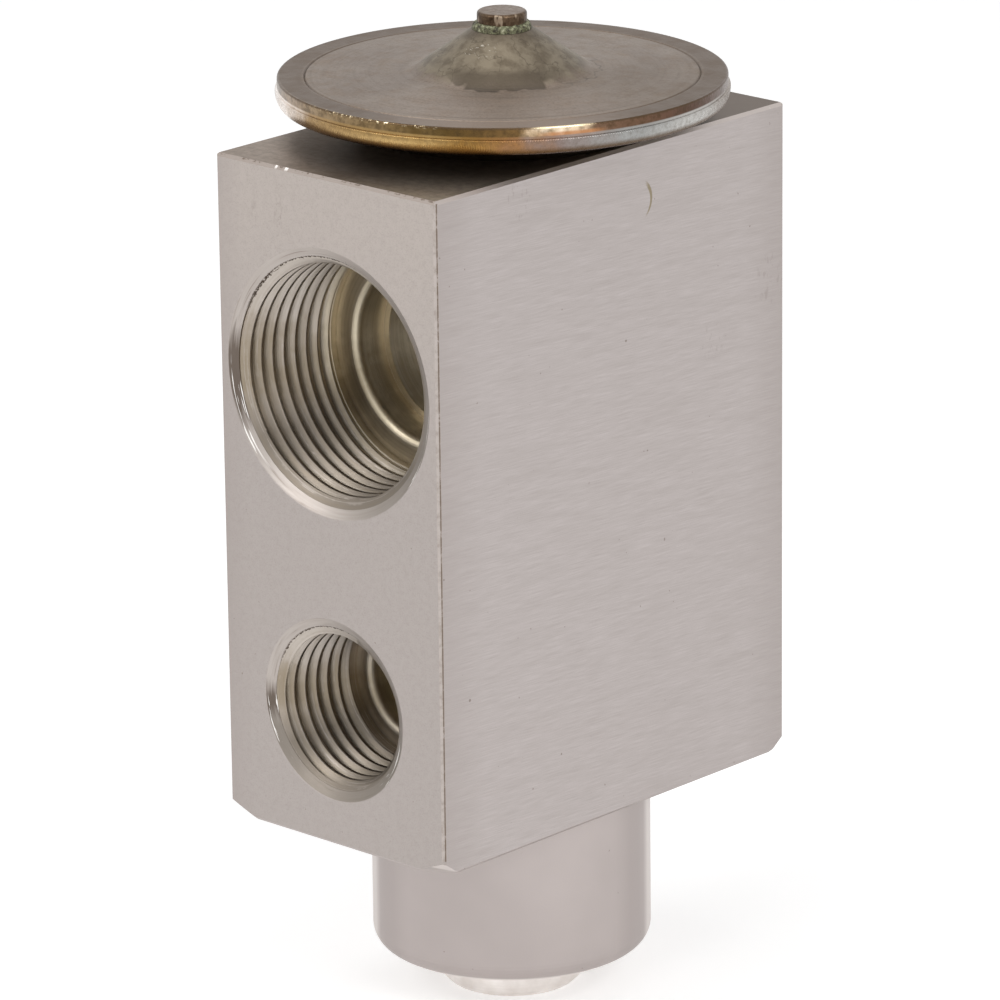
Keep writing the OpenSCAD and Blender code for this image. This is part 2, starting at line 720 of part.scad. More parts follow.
valve_block();
head_upper_cover();
head_lower_cover();
head_neck();
rim_weld();
diaphragm();
charge_pin();
pin_solder();
head_o_ring();
diaphragm_plate();
sensing_stem();
push_pin();
stem_o_ring();
seal_washer();
retaining_clip();
seat_insert();
valve_ball();
ball_carrier();
damping_clip();
superheat_spring();
adjusting_screw();
screw_o_ring();
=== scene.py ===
import json
import math

import bpy
from mathutils import Matrix, Vector


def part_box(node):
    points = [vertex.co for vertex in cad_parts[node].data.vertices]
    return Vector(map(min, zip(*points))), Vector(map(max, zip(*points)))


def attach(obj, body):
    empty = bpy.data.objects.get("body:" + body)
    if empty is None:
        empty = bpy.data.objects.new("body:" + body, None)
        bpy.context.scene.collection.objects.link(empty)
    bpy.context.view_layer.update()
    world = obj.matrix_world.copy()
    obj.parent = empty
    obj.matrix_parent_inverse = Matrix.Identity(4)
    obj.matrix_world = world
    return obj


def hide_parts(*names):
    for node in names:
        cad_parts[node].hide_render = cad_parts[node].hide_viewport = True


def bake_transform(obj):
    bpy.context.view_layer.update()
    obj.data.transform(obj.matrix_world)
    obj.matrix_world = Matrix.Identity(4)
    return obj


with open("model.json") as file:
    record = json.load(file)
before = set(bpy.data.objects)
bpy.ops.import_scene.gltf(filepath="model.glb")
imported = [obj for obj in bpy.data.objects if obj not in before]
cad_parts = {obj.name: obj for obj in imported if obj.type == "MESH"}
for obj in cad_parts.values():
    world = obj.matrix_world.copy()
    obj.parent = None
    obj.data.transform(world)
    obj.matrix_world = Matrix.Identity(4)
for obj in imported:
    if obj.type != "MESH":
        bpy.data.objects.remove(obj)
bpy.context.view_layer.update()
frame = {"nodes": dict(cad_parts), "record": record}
nodes = frame["nodes"]
mm = 0.001
print("frame loaded,", len(nodes), "nodes")

# Sizes read off the frame's pieces and its record
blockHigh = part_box("valve_block")[1]
coverLow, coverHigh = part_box("head_upper_cover")
weldLow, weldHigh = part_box("rim_weld")
solderLow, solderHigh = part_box("pin_solder")
springLow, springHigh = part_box("superheat_spring")
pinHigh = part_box("charge_pin")[1]
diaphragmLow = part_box("diaphragm")[0]
mounts = {m["name"]: m for m in frame["record"]["mounts"]}
portHeight = {name: spot["pos_m"][2] for name, spot in mounts.items()}
topZ, faceY, sideX = blockHigh.z, blockHigh.y, blockHigh.x
# heights of the block without its boss and of the upper cover's rim, in millimetres
blockHeight, rimHeight = 65, 1.19
footZ = topZ - blockHeight * mm
rimTopZ = coverLow.z / mm + rimHeight
# turn that brings the middle of aroundAxis to the view
viewTurn = math.radians(47.1)


# Small helpers for working on one object at a time
def selectOnly(piece):
    bpy.ops.object.select_all(action="DESELECT")
    piece.select_set(True)
    bpy.context.view_layer.objects.active = piece


def editMode(piece):
    selectOnly(piece)
    bpy.ops.object.mode_set(mode="EDIT")


def objectMode():
    bpy.ops.object.mode_set(mode="OBJECT")


def pickVertices(piece, test):
    # leaves edit mode with just the vertices that pass the test selected
    editMode(piece)
    bpy.ops.mesh.select_mode(type="VERT")
    bpy.ops.mesh.select_all(action="DESELECT")
    objectMode()
    for v in piece.data.vertices:
        v.select = bool(test(v.co))
    bpy.ops.object.mode_set(mode="EDIT")


def closeMesh(piece, weldGap=1e-7):
    editMode(piece)
    bpy.ops.mesh.select_all(action="SELECT")
    bpy.ops.mesh.remove_doubles(threshold=weldGap)
    bpy.ops.mesh.normals_make_consistent(inside=False)
    objectMode()


def applyModifier(piece, name):
    selectOnly(piece)
    bpy.ops.object.modifier_apply(modifier=name)


def smooth(piece, angle):
    selectOnly(piece)
    bpy.ops.object.shade_smooth_by_angle(angle=math.radians(angle))


def drawLine(name, points):
    # a plane merged to one vertex starts the line, and each point is extruded from the last
    bpy.ops.object.select_all(action="DESELECT")
    bpy.ops.mesh.primitive_plane_add(size=mm)
    piece = bpy.context.object
    piece.name = piece.data.name = name
    bpy.ops.object.mode_set(mode="EDIT")
    bpy.ops.mesh.select_mode(type="VERT")
    bpy.ops.mesh.select_all(action="SELECT")
    bpy.ops.mesh.merge(type="CENTER")
    bpy.ops.transform.translate(value=Vector(points[0]))
    for a, b in zip(points, points[1:]):
        bpy.ops.mesh.extrude_region_move(TRANSFORM_OT_translate={"value": Vector(b) - Vector(a)})
    objectMode()
    return piece


def closeLine(piece):
    # joins the line's two free ends
    last = len(piece.data.vertices) - 1
    pickVertices(piece, lambda co: co == piece.data.vertices[0].co or co == piece.data.vertices[last].co)
    bpy.ops.mesh.edge_face_add()
    objectMode()


def spinLine(piece, steps, angle=2 * math.pi):
    editMode(piece)
    bpy.ops.mesh.select_all(action="SELECT")
    bpy.ops.mesh.spin(steps=steps, angle=angle, center=(0, 0, 0), axis=(0, 0, 1))
    objectMode()


def meet(piece, tool):
    # keeps just what the piece shares with the tool
    mod = piece.modifiers.new("meet", "BOOLEAN")
    mod.operation = "INTERSECT"
    mod.object = tool
    mod.solver = "EXACT"
    applyModifier(piece, mod.name)
    bpy.data.objects.remove(tool)


def finishSurface(piece, material, angle):
    smooth(piece, angle)
    piece.data.materials.clear()
    piece.data.materials.append(material)


def finishPiece(piece, material, body, angle=35):
    finishSurface(piece, material, angle)
    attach(piece, body)


# Node helpers add to the tree that was begun last. A value is a number, a colour or a node's output
work = {"tree": None}


def feed(value, socket):
    if isinstance(value, bpy.types.NodeSocket):
        work["tree"].links.new(value, socket)
    else:
        socket.default_value = value


def addNode(kind, inputs=None, **settings):
    node = work["tree"].nodes.new(kind)
    for key, setting in settings.items():
        setattr(node, key, setting)
    for key, value in (inputs or {}).items():
        feed(value, node.inputs[key])
    return node


def maths(operation, a, b=0.0):
    return addNode("ShaderNodeMath", {0: a, 1: b}, operation=operation).outputs[0]


def plus(a, b):
    return maths("ADD", a, b)


def minus(a, b):
    return maths("SUBTRACT", a, b)


def times(*values):
    product = values[0]
    for value in values[1:]:
        product = maths("MULTIPLY", product, value)
    return product


def size(value):
    return maths("ABSOLUTE", value)


def between(value, low, high, toLow=0.0, toHigh=1.0):
    # straight ramp from toLow to toHigh while value goes from low to high
    inputs = {"Value": value, "From Min": low, "From Max": high, "To Min": toLow, "To Max": toHigh}
    return addNode("ShaderNodeMapRange", inputs).outputs[0]


def near(value, centre, halfWidth, soft):
    # 1 within halfWidth of the centre, fading to 0 over soft
    return between(minus(size(minus(value, centre)), halfWidth), 0.0, soft, 1.0, 0.0)


def mixColours(share, a, b):
    # a where share is 0 and b where it is 1; a colour mix has its colours in sockets 6 and 7
    return addNode("ShaderNodeMix", {0: share, 6: a, 7: b}, data_type="RGBA").outputs[2]


def colourRamp(share, stops):
    node = addNode("ShaderNodeValToRGB", {"Fac": share})
    ramp = node.color_ramp
    while len(ramp.elements) < len(stops):
        ramp.elements.new(0.5)
    for element, (place, colour) in zip(ramp.elements, stops):
        element.position = place
        element.color = colour
    return node.outputs[0]


def tone(red, green, blue):
    # a colour as it shows on screen, made the linear values that the shader takes
    return tuple(((c / 255 + 0.055) / 1.055) ** 2.4 for c in (red, green, blue)) + (1.0,)


def inMillimetres(scale=(1, 1, 1), turn=(0, 0, 0)):
    coords = addNode("ShaderNodeTexCoord").outputs["Object"]
    turned = addNode("ShaderNodeMapping", {"Vector": coords, "Rotation": turn}).outputs[0]
    return addNode("ShaderNodeMapping", {"Vector": turned, "Scale": [1000 * s for s in scale]}).outputs[0]


def noise(where, scale, detail=2.0, roughness=0.5):
    inputs = {"Vector": where, "Scale": scale, "Detail": detail, "Roughness": roughness}
    return addNode("ShaderNodeTexNoise", inputs).outputs["Fac"]


def combine(x, y, z=0.0):
    return addNode("ShaderNodeCombineXYZ", {0: x, 1: y, 2: z}).outputs[0]


def splitAxes(vector):
    return addNode("ShaderNodeSeparateXYZ", {"Vector": vector}).outputs


def normalAxes():
    return splitAxes(addNode("ShaderNodeTexCoord").outputs["Normal"])


def axisDistance(a, b):
    return maths("SQRT", plus(times(a, a), times(b, b)))


def aroundAxis(turn):
    # 0 to 1 round the valve's axis, a half where the turned X axis points
    where = inMillimetres(turn=(0, 0, turn))
    return addNode("ShaderNodeTexGradient", {"Vector": where}, gradient_type="RADIAL").outputs["Fac"]


def bump(height, distance):
    return addNode("ShaderNodeBump", {"Height": height, "Distance": distance}).outputs[0]


def newMaterial(name, metallic=1.0, roughness=0.4):
    material = bpy.data.materials.new(name)
    material.use_nodes = True
    work["tree"] = material.node_tree
    shader = material.node_tree.nodes["Principled BSDF"]
    feed(metallic, shader.inputs["Metallic"])
    feed(roughness, shader.inputs["Roughness"])
    return material, shader


def finishShader(shader, colour, roughness, normal):
    for key, value in (("Base Color", colour), ("Roughness", roughness), ("Normal", normal)):
        if value is not None:
            feed(value, shader.inputs[key])


def dress(material, *names):
    for name in names:
        nodes[name].data.materials.clear()
        nodes[name].data.materials.append(material)


# Block: drawn aluminium, brushed on the long sides, plain on the port faces, turned in the ports
blockLook = {
    "portFace": tone(175, 167, 163),
    "portFaceTopLight": tone(184, 175, 169),
    "portGrain": tone(150, 141, 134),
    "sideFace": tone(184, 176, 174),
    "streakDark": tone(168, 160, 156),
    "streakLight": tone(200, 193, 191),
    "sideGrain": tone(168, 160, 156),
    "farEdge": tone(166, 157, 153),
    "topFace": tone(140, 126, 114),
    "topPale": tone(156, 143, 131),
    "topShadeAndMottle": tone(100, 88, 78),
    "topCornerLight": tone(196, 184, 168),
    "edge": tone(186, 177, 172),
    "edgeWorn": tone(166, 156, 149),
    "edgeTopShade": tone(158, 148, 141),
    "edgeSideLight": tone(190, 181, 176),
    "edgeDark": tone(112, 98, 86),
    "glint": tone(244, 240, 236),
    "boss": tone(185, 176, 173),
    "bossCloud": tone(179, 170, 167),
    "bossShadeBand": tone(176, 167, 164),
    "bossHighlight": tone(222, 215, 211),
    "lowEdgeShade": tone(180, 171, 167),
    "lowCornerLight": tone(206, 198, 194),
    "bore": tone(172, 162, 152),
    "boreShadeAndRingDark": tone(136, 122, 98),
    "boreLightAndRingPale": tone(196, 188, 180),
    "boreDeepLight": tone(217, 205, 181),
    "boreLowerShade": tone(108, 100, 90),
    "boreRootLight": tone(226, 216, 200),
    "mouth": tone(182, 174, 168),
    "mouthStreakAndShade": tone(90, 78, 68),
    "mouthLowShade": tone(124, 116, 106),
    "burr": tone(66, 54, 44),
    "scratch": tone(140, 128, 100),
    "streakLength": 3.0,
    "streakHeight": 0.095,
    "streakTurn": math.radians(2.5),
    "boreRoughness": 0.42,
    "faceRoughness": 0.5,
    "topRoughness": 0.48,
    # depths behind the port face over which the bore pales with painted light, and its thread's roots begin
    # and end
    "deepening": (9.5, 13.0),
    "rootsBegin": (1.2, 1.8),
    "rootsEnd": (12.2, 11.8),
    # marks on the brushed face, as (y, drop under the top, reach)
    "specks": [(1.45, -18.6, 0.09), (-20.5, -48.4, 0.11), (4.4, -30.0, 0.05), (-8.0, -57.0, 0.06)],
    "scuffs": [(-12.9, -2.0, 1.6), (13.8, -21.4, 1.5), (22.2, -17.0, 2.2)],
    "arcCentre": (3.1, -5.5),
    "arcRadius": 2.0,
    # rub marks on the port faces, as (x, drop, reach), and nicks in their top edge, painted as highlights,
    # as (x, reach)
    "rubs": [(-5.9, -4.4, 0.9), (-9.0, -4.8, 0.5)],
    "nicks": [(-6.2, 0.08), (-4.9, 0.14)],
}
threadRadius = {"suction": 12.0, "liquid": 8.0}
mouthDepth, mouthWidth = 0.55, 0.95


def portPlace(x, y, z):
    # distance from the nearest port's axis, the direction from it, its wall, and the depth behind the face
    high, low, back = (portHeight[name] / mm
                       for name in ("suction_outlet", "liquid_inlet", "liquid_outlet"))
    parting = (high - threadRadius["suction"] + back + threadRadius["liquid"]) / 2
    upper = between(z, parting - 0.1, parting + 0.1)
    lowHere = between(y, -0.1, 0.1, low, back)
    rise = minus(z, plus(lowHere, times(upper, minus(high, lowHere))))
    radius = axisDistance(x, rise)
    wall = between(upper, 0.0, 1.0, threadRadius["liquid"], threadRadius["suction"])
    depth = minus(faceY / mm, size(y))
    return radius, maths("DIVIDE", x, radius), maths("DIVIDE", rise, radius), wall, depth


def mouthColour(look, radius, sideways, upwards, wall):
    # countersink: painted shade below on the small ports and at the right, a painted shade patch at the
    # left, and painted glints under that
    along = noise(combine(times(sideways, 2.0), times(upwards, 2.0), times(radius, 5.0)), 1.0, 3.0)
    colour = mixColours(between(along, 0.4, 0.65, 0.0, 0.6), look["mouth"], look["edgeWorn"])
    colour = mixColours(between(along, 0.62, 0.75, 0.0, 0.5), colour, look["mouthStreakAndShade"])
    small = between(wall, threadRadius["suction"], threadRadius["liquid"])
    dim = maths("MAXIMUM", times(small, 0.75), between(sideways, -0.1, 0.5, 0.0, 0.5))
    colour = mixColours(times(dim, between(upwards, 0.0, -0.4)), colour, look["mouthLowShade"])
    shadeHalf = between(wall, threadRadius["liquid"], threadRadius["suction"], 0.06, 0.22)
    shadePlace = plus(upwards, between(along, 0.3, 0.7, 0.02, 0.22))
    shadePatch = times(near(shadePlace, 0.0, shadeHalf, 0.2), between(sideways, -0.5, -0.75))
    colour = mixColours(times(shadePatch, 0.85), colour, look["mouthStreakAndShade"])
    lowerLeft = (between(upwards, 0.05, -0.1), between(upwards, -0.8, -0.6))
    return mixColours(times(between(along, 0.6, 0.63), *lowerLeft), colour, look["glint"])


def boreColour(look, here, x, y, z):
    radius, sideways, upwards, wall, depth = portPlace(x, y, z)
    slow = noise(here, 0.35, 3.0, 0.6)
    wander = between(slow, 0.3, 0.7, -0.18, 0.18)
    left = between(sideways, 0.1, -0.5)
    rings = noise(combine(times(depth, 5.0), times(radius, 4.0), times(slow, 2.0)), 1.0, 3.0, 0.6)
    # painted light: the bore paler deeper in, so it keeps from going dark
    colour = mixColours(between(depth, *look["deepening"]), look["bore"], look["boreDeepLight"])
    # painted light: bright roots keep the thread's valleys from going black
    atRoot = between(radius, minus(wall, 0.55), minus(wall, 0.05))
    inRoot = times(atRoot, between(depth, *look["rootsEnd"]), between(depth, *look["rootsBegin"]))
    colour = mixColours(times(inRoot, 0.8), colour, look["boreRootLight"])
    # painted shade: a dark band across the wall, sinking with the depth, with painted light above it
    middle = plus(minus(0.02, times(depth, 0.035)), wander)
    band = times(near(upwards, middle, 0.1, 0.42), left)
    colour = mixColours(times(band, 0.6), colour, look["boreShadeAndRingDark"])
    above = times(between(minus(upwards, middle), 0.35, 0.7), between(depth, 11.0, 7.0))
    colour = mixColours(times(above, 0.7), colour, look["boreLightAndRingPale"])
    # painted shade on the bore's lower wall
    atWall = between(radius, minus(wall, 1.4), minus(wall, 0.9))
    lower = times(between(upwards, -0.25, -0.6), atWall)
    colour = mixColours(times(lower, 0.72), colour, look["boreLowerShade"])
    # tool rings, dark and pale
    colour = mixColours(between(rings, 0.45, 0.75, 0.0, 0.3), colour, look["boreShadeAndRingDark"])
    colour = mixColours(between(rings, 0.42, 0.3, 0.0, 0.4), colour, look["boreLightAndRingPale"])
    inMouth = times(between(depth, mouthDepth + 0.02, mouthDepth), between(radius, minus(wall, 0.02), wall))
    colour = mixColours(inMouth, colour, mouthColour(look, radius, sideways, upwards, wall))
    # ragged dark line along the thread's first edge, at the top left
    lump = noise(here, 3.5, 3.0, 0.7)
    ragged = plus(minus(radius, wall), between(lump, 0.3, 0.7, -0.1, 0.1))
    topLeft = times(between(upwards, 0.35, 0.6), between(sideways, 0.5, 0.1))
    burr = times(near(ragged, 0.0, 0.04, 0.05), between(depth, 1.5, 1.2), topLeft)
    colour = mixColours(times(burr, between(lump, 0.4, 0.5)), colour, look["burr"])
    return colour, rings


def sideMarks(look, colour, x, y, z):
    # one curved scratch under the top, then specks and faint scuffs on the brushed face
    drop = minus(z, topZ / mm)
    arcY, arcDrop = look["arcCentre"]
    fromCentre = axisDistance(minus(y, arcY), minus(drop, arcDrop))
    thick = between(drop, -6.6, -4.4, 0.05, 0.14)
    arc = near(fromCentre, look["arcRadius"], thick, 0.09)
    arc = times(arc, between(y, 4.25, 4.75), between(x, sideX / mm - 0.2, sideX / mm - 0.05))
    colour = mixColours(times(arc, 0.85), colour, look["scratch"])
    for markY, markDrop, reach in look["specks"]:
        spot = axisDistance(minus(y, markY), minus(drop, markDrop))
        colour = mixColours(times(near(spot, 0.0, reach, 0.07), 0.6), colour, look["edgeDark"])
    for markY, markDrop, reach in look["scuffs"]:
        spot = axisDistance(minus(y, markY), minus(drop, markDrop))
        flakes = noise(combine(times(y, 2.2), times(drop, 0.9), markY), 1.0, 3.0, 0.7)
        scuff = times(near(spot, reach * 0.5, reach * 0.5, 0.5), between(flakes, 0.56, 0.64), 0.16)
        colour = mixColours(scuff, colour, look["edgeDark"])
    return colour


def portMarks(look, x, drop):
    # faint upright rub marks near the top left of the port faces
    flakes = noise(combine(times(x, 2.4), times(drop, 0.8)), 1.0, 3.0, 0.7)
    faint = 0.0
    for markX, markDrop, reach in look["rubs"]:
        spot = axisDistance(times(minus(x, markX), 2.4), minus(drop, markDrop))
        faint = plus(faint, near(spot, 0.0, reach, 0.8))
    return times(faint, between(flakes, 0.5, 0.62), 0.5)


def bossColour(look, clouds, z):
    # turned boss: a band of painted shade, then a painted highlight, towards each side of the view, and a
    # painted highlight on the lower round
    aside = size(minus(aroundAxis(viewTurn), 0.5))
    colour = mixColours(between(clouds, 0.35, 0.65), look["boss"], look["bossCloud"])
    colour = mixColours(near(aside, 0.17, 0.01, 0.03), colour, look["bossShadeBand"])
    colour = mixColours(between(aside, 0.195, 0.212, 0.0, 0.7), colour, look["bossHighlight"])
    return mixColours(near(z, 4.05, 0.2, 0.12), colour, look["bossHighlight"])


def sideColour(look, grain, streaks, longStreaks, x, y, z):
    colour = mixColours(between(streaks, 0.3, 0.7), look["streakDark"], look["streakLight"])
    colour = mixColours(0.58, colour, look["sideFace"])
    colour = mixColours(between(grain, 0.5, 0.3, 0.0, 0.2), colour, look["sideGrain"])
    colour = mixColours(between(longStreaks, 0.4, 0.7, 0.0, 0.3), colour, look["streakDark"])
    colour = mixColours(between(size(y), 18.5, 24.2, 0.0, 0.45), colour, look["farEdge"])
    return sideMarks(look, colour, x, y, z)


def portColour(look, grain, clouds, edgeNoise, x, z):
    top = topZ / mm
    # painted light: the face paler towards its top, with a cloudy border
    cloudy = plus(z, times(clouds, 14.0))
    colour = mixColours(between(cloudy, top - 22, top + 2, 0.0, 0.9), look["portFace"], look["portFaceTopLight"])
    colour = mixColours(between(grain, 0.5, 0.3, 0.0, 0.3), colour, look["portGrain"])
    colour = mixColours(between(edgeNoise, 0.45, 0.65, 0.0, 0.16), colour, look["portGrain"])
    colour = mixColours(portMarks(look, x, minus(z, top)), colour, look["portGrain"])
    # painted shade towards the face's far left
    return mixColours(between(x, -10.5, -13.9, 0.0, 0.5), colour, look["farEdge"])


def topColour(look, here, edgeNoise, x, y):
    # painted shade: the top written darker than the faces, cloudy, darker still away from the view and
    # mottled, with painted light at the corner nearest it
    patches = noise(here, 0.3, 5.0, 0.65)
    stretched = noise(inMillimetres((0.5, 1.6, 1)), 1.0, 5.0, 0.7)
    colour = mixColours(between(patches, 0.35, 0.7), look["topFace"], look["topPale"])
    colour = mixColours(between(y, 4.0, 18.0, 0.0, 0.9), colour, look["topShadeAndMottle"])
    colour = mixColours(between(stretched, 0.5, 0.75, 0.0, 0.5), colour, look["topShadeAndMottle"])
    colour = mixColours(between(minus(x, y), 24.0, 37.0, 0.0, 0.85), colour, look["topCornerLight"])
    return mixColours(between(edgeNoise, 0.42, 0.62, 0.0, 0.35), colour, look["topShadeAndMottle"])


def edgeColour(look, edgeNoise, x, y, z, nx, ny, nz):
    top = topZ / mm
    colour = mixColours(between(edgeNoise, 0.45, 0.65), look["edge"], look["edgeWorn"])
    # painted shade on the upward chamfers along the port faces, and painted light on those along the sides
    upwards = between(nz, 0.3, 0.6)
    colour = mixColours(times(upwards, between(size(ny), 0.3, 0.6)), colour, look["edgeTopShade"])
    colour = mixColours(times(upwards, between(size(nx), 0.3, 0.6)), colour, look["edgeSideLight"])
    # dotted dark line where the port face's edge meets the brushed side, and fainter ticks under the top
    atPortFace = between(size(y), faceY / mm - 0.4, faceY / mm - 0.3)
    dots = between(edgeNoise, 0.34, 0.46, 0.3, 0.9)
    cornerLine = times(near(size(x), sideX / mm - 0.06, 0.03, 0.03), dots)
    topTicks = times(near(z, top - 0.07, 0.04, 0.05), between(edgeNoise, 0.54, 0.6, 0.0, 0.9))
    colour = mixColours(times(maths("MAXIMUM", cornerLine, topTicks), atPortFace), colour, look["edgeDark"])
    # painted glints on the edges, and painted highlights at the nicks in the top front edge
    colour = mixColours(between(edgeNoise, 0.69, 0.72), colour, look["glint"])
    inFront = (between(y, -22.0, -23.0), between(z, top - 0.3, top - 0.1))
    for nickX, reach in look["nicks"]:
        colour = mixColours(times(near(x, nickX, reach, 0.1), *inFront), colour, look["glint"])
    return colour


def blockMaterial():
    look = blockLook
    material, shader = newMaterial("drawnAluminium")
    here = inMillimetres()
    x, y, z = splitAxes(here)
    nx, ny, nz = normalAxes()
    top, foot, face, side = topZ / mm, footZ / mm, faceY / mm, sideX / mm
    # where a point lies: on a side, the top, the boss or an edge, or in a bore
    onSide = times(between(size(nx), 0.9, 0.98), between(size(x), side - 0.1, side - 0.02))
    onTop = times(between(nz, 0.85, 0.95), between(z, top - 0.2, top - 0.1))
    inDepth = between(size(y), face - 0.06, face - 0.02, 1.0, 0.0)
    inWidth = between(size(x), side - 0.4, side - 0.35, 1.0, 0.0)
    overFoot = between(z, foot + 1.6, foot + 1.7)
    underTop = between(z, top - 0.4, top - 0.3, 1.0, 0.0)
    inBore = times(inDepth, inWidth, overFoot, underTop)
    slanted = between(maths("MAXIMUM", size(nx), maths("MAXIMUM", size(ny), nz)), 0.9, 0.8)
    onEdge = times(slanted, overFoot, minus(1.0, inBore))
    onBoss = between(z, foot + 0.05, foot - 0.05)

    # short fine streaks on the side faces, a few degrees off their length
    turn = (look["streakTurn"], 0, 0)
    fine = inMillimetres((1, 1 / look["streakLength"], 1 / look["streakHeight"]), turn)
    streaks = noise(fine, 1.0, 3.0, 0.6)
    longStreaks = noise(inMillimetres((1, 0.1, 1.3), turn), 1.0, 3.0)
    clouds = noise(here, 0.09, 3.0)
    grain = noise(here, 7.0, 2.0)
    edgeNoise = noise(here, 1.4, 4.0, 0.7)

    boreHere, rings = boreColour(look, here, x, y, z)
    colour = portColour(look, grain, clouds, edgeNoise, x, z)
    colour = mixColours(onSide, colour, sideColour(look, grain, streaks, longStreaks, x, y, z))
    colour = mixColours(onTop, colour, topColour(look, here, edgeNoise, x, y))
    colour = mixColours(onEdge, colour, edgeColour(look, edgeNoise, x, y, z, nx, ny, nz))
    colour = mixColours(inBore, colour, boreHere)
    colour = mixColours(onBoss, colour, bossColour(look, clouds, z))
    # painted shade: the lower edges' chamfers toned down against the floor's light
    lowEdgeShade = times(slanted, between(z, foot + 0.45, foot + 0.35), between(z, foot - 0.05, foot + 0.02))
    colour = mixColours(lowEdgeShade, colour, look["lowEdgeShade"])
    # the lower corner nearest the view is clipped by the cone, with painted light there
    atCorner = (between(minus(x, y), 36.3, 36.7), between(z, foot - 0.05, foot))
    colour = mixColours(times(between(nz, -0.2, -0.4), *atCorner), colour, look["lowCornerLight"])
    specks = between(noise(here, 1.7, 1.0), 0.79, 0.82, 0.0, 0.5)
    colour = mixColours(specks, colour, look["edgeDark"])

    rough = between(onTop, 0.0, 1.0, look["faceRoughness"], look["topRoughness"])
    rough = between(inBore, 0.0, 1.0, rough, look["boreRoughness"])
    height = plus(times(streaks, onSide, 0.75), times(grain, 0.5))
    height = plus(height, times(rings, inBore, 1.5))
    finishShader(shader, colour, rough, bump(height, 0.000012))
    return material


# Upper cover: dull pressed sheet, dark round the cone's foot, browned by the weld at its edge, with painted
# light and shade round the view
coverLook = {
    "sheet": tone(130, 118, 108),
    "sheetLight": tone(141, 129, 118),
    "sheetWarm": tone(134, 116, 98),
    "sheetFrontLight": tone(158, 142, 129),
    "sheetFarShade": tone(110, 96, 82),
    "band": tone(100, 86, 74),
    "bandFrontLight": tone(142, 125, 112),
    "groove": tone(84, 73, 64),
    "cone": tone(130, 120, 104),
    "coneDark": tone(106, 96, 82),
    "coneHighlight": tone(196, 190, 178),
    "darkMark": tone(88, 79, 68),
    "grooveRadius": 18.55,
    "coneFootRadius": 8.5,
    "coneTopRadius": 2.9,
    # tints round the rim from the weld's heat, with a painted highlight round 0.54, in front of the view
    "rim": [(0.0, (98, 80, 68)), (0.22, (92, 76, 64)), (0.31, (158, 138, 118)), (0.36, (148, 127, 98)),
            (0.42, (120, 99, 66)), (0.455, (88, 69, 38)), (0.508, (116, 90, 56)), (0.526, (186, 160, 128)),
            (0.538, (240, 222, 198)), (0.55, (216, 190, 160)), (0.572, (114, 88, 70)), (0.66, (92, 68, 57)),
            (0.74, (102, 80, 70)), (0.95, (98, 80, 68))],
    "rimMottle": tone(68, 54, 36),
    "rimOrangeHighlight": tone(182, 126, 84),
    "rimTopShade": tone(86, 69, 52),
    "rimGlint": tone(246, 226, 188),
    "sheetRoughness": 0.46,
    "rimRoughness": 0.26,
}


def rimTint(around, here, stops):
    # tints round the rim, with a slightly wavering border between them
    shifted = plus(around, between(noise(here, 0.45, 3.0), 0.3, 0.7, -0.012, 0.012))
    return colourRamp(shifted, [(place, tone(*rgb)) for place, rgb in stops])


def weldTint(look, around, here, high):
    # the heat tints with their painted highlight, browner along the bead's upper half in front
    brown = times(near(around, 0.43, 0.05, 0.03), high, look["brownShare"])
    return mixColours(brown, rimTint(around, here, look["tintsAndHighlight"]), look["brown"])


def coneColour(look, here, radius, around, coneNoise):
    # soft mottling, thin tide lines and a few painted highlight flecks
    colour = mixColours(between(coneNoise, 0.42, 0.62), look["cone"], look["coneDark"])
    veins = near(noise(here, 0.42, 3.0, 0.5), 0.5, 0.004, 0.008)
    colour = mixColours(times(veins, 0.6), colour, look["darkMark"])
    highlightFlecks = times(between(noise(here, 3.2, 3.0, 0.7), 0.62, 0.68), near(around, 0.42, 0.03, 0.04))
    colour = mixColours(times(highlightFlecks, near(radius, 4.4, 0.6, 0.5)), colour, look["coneHighlight"])
    return mixColours(between(radius, 4.2, look["coneTopRadius"], 0.0, 0.6), colour, look["darkMark"])


def rimColour(look, colour, here, radius, around, z):
    # band at the cover's edge, browned by the weld's heat, with a painted highlight in front, painted shade
    # on its top round and painted glints on its corner
    edgeR = coverHigh.x / mm
    onEdge = between(radius, edgeR - 0.3, edgeR - 0.1)
    mottle = between(noise(here, 1.5, 4.0, 0.65), 0.42, 0.62, 0.0, 0.55)
    mottled = mixColours(mottle, rimTint(around, here, look["rim"]), look["rimMottle"])
    colour = mixColours(onEdge, colour, mottled)
    # painted highlight, orange, just under the top in front
    orangeHighlight = times(near(around, 0.548, 0.014, 0.012), between(z, rimTopZ - 0.42, rimTopZ - 0.62), onEdge)
    colour = mixColours(times(orangeHighlight, 0.8), colour, look["rimOrangeHighlight"])
    onRound = times(onEdge, between(z, rimTopZ - 0.22, rimTopZ - 0.08))
    colour = mixColours(times(onRound, 0.8), colour, look["rimTopShade"])
    crisp = times(near(radius, edgeR - 0.06, 0.05, 0.06), between(z, rimTopZ - 0.3, rimTopZ - 0.1))
    sparkle = times(between(noise(here, 2.6, 3.0, 0.7), 0.56, 0.62), near(around, 0.4, 0.03, 0.03))
    bright = maths("MAXIMUM", sparkle, near(around, 0.542, 0.012, 0.012))
    colour = mixColours(times(crisp, bright), colour, look["rimGlint"])
    # the bead's tints begin a little above the bead itself
    climb = times(onEdge, between(z, rimTopZ - 0.78, rimTopZ - 0.9))
    return mixColours(times(climb, 0.85), colour, weldTint(weldLook, around, here, 1.0)), onEdge


